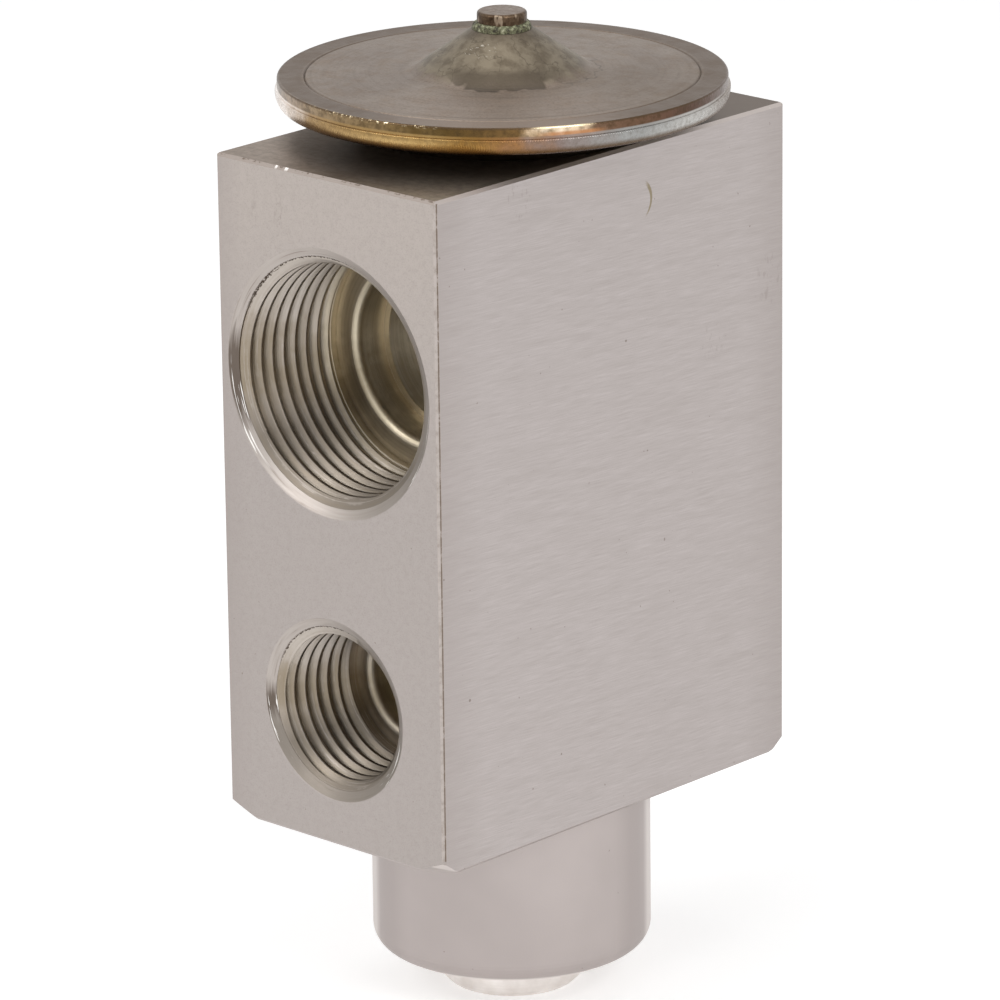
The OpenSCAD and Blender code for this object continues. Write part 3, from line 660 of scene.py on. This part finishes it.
def coverMaterial():
    look = coverLook
    material, shader = newMaterial("pressedCover")
    here = inMillimetres()
    x, y, z = splitAxes(here)
    radius = axisDistance(x, y)
    around = aroundAxis(viewTurn)
    cloud = noise(here, 0.14, 5.0, 0.6)
    patch = noise(here, 0.55, 5.0, 0.65)
    fine = noise(here, 4.0, 3.0, 0.6)
    rings = noise(combine(times(radius, 2.2), times(cloud, 2.0), times(around, 3.0)), 1.0, 4.0, 0.6)

    # sheet: cloudy, with painted shade at its far right and painted light in front
    colour = mixColours(between(cloud, 0.38, 0.62), look["sheet"], look["sheetLight"])
    colour = mixColours(between(patch, 0.5, 0.72, 0.0, 0.5), colour, look["sheetWarm"])
    farShaded = mixColours(0.5, colour, look["sheetFarShade"])
    colour = mixColours(near(around, 0.68, 0.05, 0.09), colour, farShaded)
    atFront = near(around, 0.5, 0.03, 0.12)
    colour = mixColours(times(atFront, 0.5), colour, look["sheetFrontLight"])
    colour = mixColours(between(rings, 0.45, 0.7, 0.0, 0.3), colour, look["band"])
    colour = mixColours(between(fine, 0.48, 0.7, 0.0, 0.45), colour, look["band"])

    # band outside the groove, with painted light in front, the groove's line in painted shade, and a second
    # faint line along part of the front
    grooveR = look["grooveRadius"]
    band = mixColours(near(around, 0.5, 0.03, 0.08), look["band"], look["bandFrontLight"])
    colour = mixColours(between(radius, grooveR - 0.1, grooveR + 0.4, 0.0, 0.8), colour, band)
    line = times(near(radius, grooveR, 0.05, 0.12), between(rings, 0.3, 0.6, 0.15, 0.5))
    colour = mixColours(line, colour, look["groove"])
    second = times(near(radius, grooveR - 0.95, 0.02, 0.1), near(around, 0.53, 0.07, 0.05), 0.6)
    colour = mixColours(second, colour, look["groove"])

    footR = look["coneFootRadius"]
    coneNoise = noise(here, 0.75, 5.0, 0.6)
    wavering = plus(radius, between(coneNoise, 0.3, 0.7, -0.5, 0.5))
    onCone = between(wavering, footR - 1.2, footR - 0.2, 1.0, 0.0)
    colour = mixColours(onCone, colour, coneColour(look, here, radius, around, coneNoise))

    # dark crescent round the cone's foot, widest at the front, with a scalloped edge
    scallops = between(noise(here, 0.75, 0.0), 0.3, 0.7, -0.45, 0.45)
    reach = plus(times(atFront, 1.6), plus(scallops, 7.4))
    darkMark = between(minus(radius, reach), -0.1, 0.2, 1.0, 0.0)
    darkMark = times(darkMark, between(radius, 6.2, 7.0), between(atFront, 0.15, 0.6, 0.15, 0.85))
    colour = mixColours(darkMark, colour, look["darkMark"])
    tide = times(near(plus(radius, scallops), 9.0, 0.03, 0.09), near(around, 0.72, 0.07, 0.05), 0.7)
    colour = mixColours(tide, colour, look["darkMark"])
    colour, onEdge = rimColour(look, colour, here, radius, around, z)

    rough = between(onEdge, 0.0, 1.0, look["sheetRoughness"], look["rimRoughness"])
    rough = plus(rough, between(patch, 0.4, 0.7, 0.0, 0.1))
    height = plus(times(fine, 0.6), plus(times(rings, 0.5), times(patch, 1.5)))
    finishShader(shader, colour, rough, bump(height, 0.00003))
    return material


# Weld bead: heat tints run from the left of the view to pale blue-grey at its right, with a painted
# highlight in pinkish white at the left
weldLook = {
    "tintsAndHighlight": [(0.0, (186, 172, 158)), (0.14, (196, 182, 168)), (0.25, (252, 246, 242)),
              (0.305, (244, 233, 224)), (0.345, (160, 132, 94)), (0.44, (196, 164, 108)),
              (0.475, (158, 120, 64)), (0.505, (148, 108, 70)), (0.535, (132, 116, 110)),
              (0.59, (152, 152, 150)), (0.66, (190, 188, 184)), (0.72, (156, 146, 138)),
              (0.92, (186, 172, 158))],
    "under": tone(84, 58, 24),
    "brown": tone(104, 76, 40),
    "brownShare": 0.45,
    "brownFrom": (88.55, 88.9),
    "dust": tone(84, 70, 52),
    # the bead's form: ripples round the rim, how far they stand out, and how far their middle lags
    "ripples": 576,
    "rippleHeight": 0.034,
    "lag": 0.35,
    "buried": 0.65,
    "raisedFrom": 0.12,
    "lowAngle": 80,
    "topAngle": 35,
    "points": 16,
    "overDiaphragm": 0.1,
    "weldGap": 0.004,
}


def weldMaterial():
    look = weldLook
    material, shader = newMaterial("heatTintedWeld")
    here = inMillimetres()
    z = splitAxes(here)[2]
    around = aroundAxis(viewTurn)
    colour = weldTint(look, around, here, between(z, *look["brownFrom"]))
    mottle = noise(here, 2.4, 4.0, 0.65)
    colour = mixColours(between(mottle, 0.45, 0.7, 0.0, 0.3), colour, look["dust"])
    low = weldLow.z / mm
    # painted shade along the bead's lower edge, apart from at the left of the view
    shaded = times(between(z, low + 0.3, low + 0.75, 0.85, 0.0), between(around, 0.33, 0.38))
    colour = mixColours(shaded, colour, look["under"])
    finishShader(shader, colour, between(mottle, 0.35, 0.65, 0.22, 0.38), bump(mottle, 0.00003))
    return material


# Filling pin: browned, with painted highlights in a few bright upright lines and a paler top
pinLook = {"brown": tone(99, 82, 66), "blotch": tone(62, 48, 36), "line": tone(168, 150, 130),
           "top": tone(119, 101, 86)}


def pinMaterial():
    look = pinLook
    material, shader = newMaterial("brownedPin")
    nz = normalAxes()[2]
    blotches = noise(inMillimetres(), 1.3, 4.0, 0.7)
    uprightStreaks = noise(inMillimetres((2.2, 2.2, 0.4)), 1.0, 3.0)
    colour = mixColours(between(blotches, 0.38, 0.65), look["brown"], look["blotch"])
    # painted highlights along upright streaks
    colour = mixColours(between(uprightStreaks, 0.58, 0.66, 0.0, 0.8), colour, look["line"])
    colour = mixColours(between(nz, 0.8, 0.95, 0.0, 0.8), colour, look["top"])
    rough = between(blotches, 0.35, 0.65, 0.3, 0.45)
    finishShader(shader, colour, rough, bump(plus(blotches, uprightStreaks), 0.00004))
    return material


# Solder ring: a lumpy, tarnished collar round the pin's foot
solderLook = {
    "grains": [(0.38, tone(44, 39, 27)), (0.47, tone(90, 88, 64)), (0.56, tone(126, 128, 98)),
               (0.7, tone(188, 186, 160))],
    # displacement, as (name, size, height)
    "lumps": [("lumps", 0.5, 0.22), ("grains", 0.16, 0.07)],
    "steps": 150,
    "profileSteps": 8,
    # how far the collar goes into the pin and the cone's foot, and stays inside the solid's size
    "inPin": 0.05,
    "inOuter": 0.1,
    "inFoot": 0.1,
    "inTop": 0.12,
    "fullness": (0.7, 0.9),
}


def solderMaterial():
    material, shader = newMaterial("tarnishedSolder", metallic=0.2, roughness=0.6)
    grains = noise(inMillimetres(), 2.4, 4.0, 0.7)
    finishShader(shader, colourRamp(grains, solderLook["grains"]), None, bump(grains, 0.00006))
    return material


# Plain turned metals, as (light, dark, roughness), and the seals' rubber
turnedLook = {
    "turnedSteel": (tone(196, 192, 186), tone(172, 168, 162), 0.3),
    "lowerCoverSteel": (tone(108, 96, 82), tone(80, 68, 54), 0.45),
    "turnedScrew": (tone(244, 239, 235), tone(224, 217, 212), 0.34),
    "turnedBrass": (tone(196, 166, 100), tone(170, 138, 78), 0.32),
}
rubberLook = {"dark": tone(18, 18, 19), "light": tone(34, 33, 34)}


def turnedMaterial(name):
    # fine tool rings along Z
    light, dark, roughness = turnedLook[name]
    material, shader = newMaterial(name, roughness=roughness)
    rings = noise(inMillimetres((0.2, 0.2, 6.0)), 1.0, 3.0)
    cloud = noise(inMillimetres(), 0.5, 4.0)
    colour = mixColours(between(cloud, 0.35, 0.7), light, dark)
    colour = mixColours(between(rings, 0.4, 0.7, 0.0, 0.3), colour, dark)
    finishShader(shader, colour, None, bump(rings, 0.000015))
    return material


def rubberMaterial():
    material, shader = newMaterial("sealRubber", metallic=0.0, roughness=0.55)
    grain = noise(inMillimetres(), 6.0, 3.0)
    colour = mixColours(grain, rubberLook["dark"], rubberLook["light"])
    finishShader(shader, colour, None, bump(grain, 0.00002))
    return material


blockMetal = blockMaterial()
weldMetal = weldMaterial()
solderMetal = solderMaterial()
plainSteel = turnedMaterial("turnedSteel")
dress(blockMetal, "valve_block")
dress(coverMaterial(), "head_upper_cover")
dress(turnedMaterial("lowerCoverSteel"), "head_lower_cover")
dress(weldMetal, "rim_weld")
dress(pinMaterial(), "charge_pin")
dress(solderMetal, "pin_solder")
dress(turnedMaterial("turnedScrew"), "adjusting_screw")
dress(rubberMaterial(), "head_o_ring", "stem_o_ring", "screw_o_ring")
dress(turnedMaterial("turnedBrass"), "seal_washer", "ball_carrier")
dress(plainSteel, "head_neck", "diaphragm", "diaphragm_plate", "sensing_stem", "push_pin", "retaining_clip",
      "seat_insert", "valve_ball", "damping_clip", "superheat_spring")
print("nodes dressed")


# Port threads: a 60 degree ridge wound on each port's wall, cut back by the mouth's countersink
suctionThread = {"majorRadius": 12.0, "minorRadius": 11.19, "length": 11.9, "mouthRadius": 12.95,
                 "crestAt": 1.35, "stepsPerTurn": 120}
liquidThread = {"majorRadius": 8.0, "minorRadius": 7.19, "length": 9.4, "mouthRadius": 8.95,
                "crestAt": 0.75, "stepsPerTurn": 96}
ridgeLook = {"pitch": 1.5, "flank": 30, "buried": 0.05, "bevel": 0.03, "behindMouth": 0.03,
             "turnsOutside": 2.5}


def ridgeLine(name, look):
    # outline of the ridge, some turns outside the mouth; a crest crosses -X half a turn on
    ridge = ridgeLook
    pitch, bevel = ridge["pitch"] * mm, ridge["bevel"] * mm
    wall, minor = (look["majorRadius"] + ridge["buried"]) * mm, look["minorRadius"] * mm
    slope = math.tan(math.radians(ridge["flank"]))
    crest = pitch / 8
    root = crest + (wall - minor) * slope
    start = look["crestAt"] * mm - ridge["turnsOutside"] * pitch
    line = drawLine(name, [
        (wall, 0, start - root), (minor + bevel, 0, start - crest - bevel * slope),
        (minor, 0, start - crest + bevel), (minor, 0, start + crest - bevel),
        (minor + bevel, 0, start + crest + bevel * slope), (wall, 0, start + root)])
    closeLine(line)
    return line


def keptSpace(look):
    # what stays of the ridge lies behind the countersink and before the run-out
    buried = ridgeLook["buried"] * mm
    mouth, end = look["mouthRadius"] * mm, look["length"] * mm
    outer, inner = look["majorRadius"] * mm + 2 * buried, look["minorRadius"] * mm - 3 * buried
    fall = mouthDepth / mouthWidth
    atInner, atOuter = ((mouth - r) * fall + ridgeLook["behindMouth"] * mm for r in (inner, outer))
    space = drawLine("keep", [
        (0, 0, atInner), (inner, 0, atInner), (outer, 0, atOuter), (outer, 0, end), (0, 0, end)])
    spinLine(space, look["stepsPerTurn"])
    closeMesh(space)
    return space


def portThread(name, look, mount):
    line = ridgeLine(name, look)
    wind = line.modifiers.new("wind", "SCREW")
    wind.angle = 2 * math.pi
    wind.screw_offset = ridgeLook["pitch"] * mm
    wind.iterations = math.ceil(look["length"] / ridgeLook["pitch"]) + 2
    wind.steps = wind.render_steps = look["stepsPerTurn"]
    wind.use_merge_vertices = False
    wind.use_normal_calculate = True
    applyModifier(line, wind.name)
    editMode(line)
    bpy.ops.mesh.select_mode(type="EDGE")
    bpy.ops.mesh.select_all(action="DESELECT")
    bpy.ops.mesh.select_non_manifold(extend=False, use_wire=False, use_boundary=True)
    bpy.ops.mesh.edge_face_add()
    objectMode()
    closeMesh(line)
    meet(line, keptSpace(look))

    # from the thread's own frame to its port
    side = -1 if mounts[mount]["axis"][1] < 0 else 1
    turn = Matrix.Rotation(math.radians(90 * side), 4, "X")
    line.data.transform(Matrix.Translation((0, side * faceY, portHeight[mount])) @ turn)
    closeMesh(line)
    finishPiece(line, blockMetal, "valve_body")


for mount in ("suction_outlet", "suction_inlet"):
    portThread(mount + "_thread", suctionThread, mount)
for mount in ("liquid_inlet", "liquid_outlet"):
    portThread(mount + "_thread", liquidThread, mount)
print("port threads wound")


# Rim bead: one ripple is modelled, then repeated round the rim
def beadOutline(look, inner):
    # a half round from the bead's low edge, over its widest point, to its high edge
    out = weldHigh.x - inner
    widest = diaphragmLow.z + look["overDiaphragm"] * mm
    lowAngle, topAngle = math.radians(look["lowAngle"]), math.radians(look["topAngle"])
    below = (widest - weldLow.z) / math.sin(lowAngle)
    over = (weldHigh.z - widest) / math.sin(topAngle)
    outline = [(inner, weldLow.z)]
    for i in range(look["points"] + 1):
        a = -lowAngle + (lowAngle + topAngle) * i / look["points"]
        outline.append((inner + out * math.cos(a), widest + (below if a < 0 else over) * math.sin(a)))
    outline.append((inner, weldHigh.z))
    return outline


def rimBead():
    look = weldLook
    inner = coverHigh.x - look["buried"] * mm
    ripple = 2 * math.pi / look["ripples"]
    # the ripple's line lags behind in the middle of the bead, as a crescent
    middle, half = (weldLow.z + weldHigh.z) / 2, (weldHigh.z - weldLow.z) / 2
    line = []
    for r, z in beadOutline(look, inner):
        lag = look["lag"] * ripple * 4 * (1 - ((z - middle) / half) ** 2)
        line.append((r * math.cos(lag), r * math.sin(lag), z))
    bead = drawLine("rim_bead", line)
    closeLine(bead)
    spinLine(bead, 3, ripple)
    # the two middle lines of the ripple's four stand out
    raised = inner + look["raisedFrom"] * mm
    for step in (1, 2):
        editMode(bead)
        bpy.ops.mesh.select_all(action="DESELECT")
        objectMode()
        for i in range(step * len(line), (step + 1) * len(line)):
            v = bead.data.vertices[i]
            v.select = math.hypot(v.co.x, v.co.y) > raised
        bpy.ops.object.mode_set(mode="EDIT")
        bpy.ops.transform.translate(value=(look["rippleHeight"] * mm, 0, 0))
        objectMode()
    hub = bpy.data.objects.new("hub", None)
    bpy.context.scene.collection.objects.link(hub)
    hub.rotation_euler = (0, 0, ripple)
    bpy.context.view_layer.update()
    ring = bead.modifiers.new("ring", "ARRAY")
    ring.count = look["ripples"]
    ring.use_relative_offset = False
    ring.use_object_offset = True
    ring.offset_object = hub
    applyModifier(bead, ring.name)
    bpy.data.objects.remove(hub)
    closeMesh(bead, look["weldGap"] * mm)
    finishPiece(bead, weldMetal, "valve_body", 60)
    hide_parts("rim_weld")


rimBead()
print("rim bead rippled")


# The solder ring stands a little inside the solid's, so its lumps come out at the solid's size
def solderRing():
    look = solderLook
    inner, outer = pinHigh.x - look["inPin"] * mm, solderHigh.x - look["inOuter"] * mm
    foot, top = solderLow.z - look["inFoot"] * mm, solderHigh.z - look["inTop"] * mm
    wide, tall = look["fullness"]
    line = [(inner, 0, foot)]
    for i in range(look["profileSteps"] + 1):
        a = math.radians(90) * i / look["profileSteps"]
        r = inner + (outer - inner) * math.cos(a) ** wide
        line.append((r, 0, foot + (top - foot) * math.sin(a) ** tall))
    collar = drawLine("solder_collar", line)
    closeLine(collar)
    spinLine(collar, look["steps"])
    closeMesh(collar)
    for name, lumpSize, height in look["lumps"]:
        texture = bpy.data.textures.new(name, "CLOUDS")
        texture.noise_scale = lumpSize * mm
        mod = collar.modifiers.new(name, "DISPLACE")
        mod.texture = texture
        mod.texture_coords = "LOCAL"
        mod.strength = height * mm
        mod.mid_level = 0.5
        applyModifier(collar, mod.name)
    finishPiece(collar, solderMetal, "valve_body", 50)
    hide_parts("pin_solder")


solderRing()
print("solder ring laid")


# Superheat spring: wound as a lower half and an upper half
springLook = {"wire": 1.2, "meanRadius": 3.9, "activeTurns": 4.5, "endPitch": 1.26, "stepsPerTurn": 24,
              "roundSteps": 2, "stillEnd": 1.8}


def coilHeight(turn):
    # height of the wire's centre line: close end turns, open ones between
    look = springLook
    openRise = (springHigh.z - springLow.z) / mm - look["wire"] - 2 * look["endPitch"]
    opened = min(max(turn - 1, 0), look["activeTurns"])
    rise = (turn - opened) * look["endPitch"] + opened * openRise / look["activeTurns"]
    return springLow.z + (look["wire"] / 2 + rise) * mm


def springHalf(name, firstTurn, lastTurn):
    look = springLook
    radius = look["meanRadius"] * mm
    steps = round((lastTurn - firstTurn) * look["stepsPerTurn"])
    points = []
    for i in range(steps + 1):
        turn = firstTurn + (lastTurn - firstTurn) * i / steps
        a = 2 * math.pi * turn
        points.append((radius * math.cos(a), radius * math.sin(a), coilHeight(turn)))
    selectOnly(drawLine(name, points))
    bpy.ops.object.convert(target="CURVE")
    wire = bpy.context.object.data
    wire.bevel_depth = look["wire"] / 2 * mm
    wire.bevel_resolution = look["roundSteps"]
    wire.use_fill_caps = True
    bpy.ops.object.convert(target="MESH")
    coil = bpy.context.object
    closeMesh(coil)
    finishSurface(coil, plainSteel, 50)
    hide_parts("superheat_spring")
    return coil


def windSpring():
    look = springLook
    turns = look["activeTurns"] + 2
    lowerHalf = springHalf("spring_lower_half", 0, turns / 2)
    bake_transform(lowerHalf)
    upperHalf = springHalf("spring_upper_half", turns / 2, turns)
    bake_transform(upperHalf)


windSpring()
print("spring wound")


# Floor, world, lamps and camera
stageLook = {"floorSize": 6, "floorTone": 0.85, "floorRoughness": 0.9, "floorGlow": 0.42,
             "fill": 0.5, "seen": 1.0, "lampTarget": 0.05}


def seenPale():
    # 1 for rays that show the background: straight, mirrored or through glass
    path = addNode("ShaderNodeLightPath").outputs
    aside = maths("MAXIMUM", path["Is Glossy Ray"], path["Is Transmission Ray"])
    return maths("MAXIMUM", path["Is Camera Ray"], aside)


def floorMaterial():
    look = stageLook
    material, shader = newMaterial("paleFloor", metallic=0.0, roughness=look["floorRoughness"])
    feed((look["floorTone"],) * 3 + (1,), shader.inputs["Base Color"])
    strength = times(seenPale(), look["floorGlow"])
    glow = addNode("ShaderNodeEmission", {"Color": (1, 1, 1, 1), "Strength": strength})
    both = addNode("ShaderNodeAddShader", {0: shader.outputs[0], 1: glow.outputs[0]})
    feed(both.outputs[0], material.node_tree.nodes["Material Output"].inputs["Surface"])
    return material


bpy.ops.object.select_all(action="DESELECT")
bpy.ops.mesh.primitive_plane_add(size=stageLook["floorSize"], location=(0, 0, 0))
floor = bpy.context.object
floor.name = "floor"
floor.data.materials.append(floorMaterial())

world = bpy.data.worlds.new("studio")
bpy.context.scene.world = world
world.use_nodes = True
work["tree"] = world.node_tree
backdrop = world.node_tree.nodes["Background"]
feed((1, 1, 1, 1), backdrop.inputs["Color"])
feed(between(seenPale(), 0.0, 1.0, stageLook["fill"], stageLook["seen"]), backdrop.inputs["Strength"])

lamps = [
    {"name": "keyLamp", "azimuth": -25, "height": 42, "distance": 0.7, "size": 0.3, "power": 1.1},
    {"name": "sideLamp", "azimuth": 75, "height": 35, "distance": 0.8, "size": 0.3, "power": 1.7},
    {"name": "topLamp", "azimuth": 20, "height": 80, "distance": 0.8, "size": 0.5, "power": 0.8},
]


def directionOf(azimuth, height):
    # azimuth 0 looks at the -Y face, and grows towards +X
    a, e = math.radians(azimuth), math.radians(height)
    return Vector((math.sin(a) * math.cos(e), -math.cos(a) * math.cos(e), math.sin(e)))


for lamp in lamps:
    data = bpy.data.lights.new(lamp["name"], "AREA")
    data.size = lamp["size"]
    data.energy = lamp["power"]
    spot = bpy.data.objects.new(lamp["name"], data)
    towards = directionOf(lamp["azimuth"], lamp["height"])
    spot.location = Vector((0, 0, stageLook["lampTarget"])) + towards * lamp["distance"]
    spot.rotation_euler = towards.to_track_quat("Z", "Y").to_euler()
    bpy.context.scene.collection.objects.link(spot)

view = {"azimuth": 42.9001, "height": 17.4396, "roll": -0.6671, "distance": 0.660428,
        "shiftX": -0.6557, "shiftY": -4.0192, "underTop": 32.5, "lens": 249.69, "sensor": 36,
        "nearest": 0.05, "farthest": 20}


def setCamera():
    # the view of the photo, fitted to the block's corners and to the rims of the ports and the head
    towards = directionOf(view["azimuth"], view["height"])
    flatRight = (-towards).cross(Vector((0, 0, 1))).normalized()
    flatUp = flatRight.cross(-towards)
    roll = math.radians(view["roll"])
    right = math.cos(roll) * flatRight + math.sin(roll) * flatUp
    up = math.cos(roll) * flatUp - math.sin(roll) * flatRight
    data = bpy.data.cameras.new("view")
    data.lens = view["lens"]
    data.sensor_width = view["sensor"]
    data.clip_start, data.clip_end = view["nearest"], view["farthest"]
    camera = bpy.data.objects.new("view", data)
    target = Vector((0, 0, topZ - view["underTop"] * mm))
    place = target + towards * view["distance"] + right * view["shiftX"] * mm + up * view["shiftY"] * mm
    turn = Matrix((right, up, towards)).transposed()
    camera.matrix_world = Matrix.Translation(place) @ turn.to_4x4()
    bpy.context.scene.collection.objects.link(camera)
    bpy.context.scene.camera = camera


setCamera()
bpy.context.scene.view_settings.view_transform = "Standard"

print("scene ready")
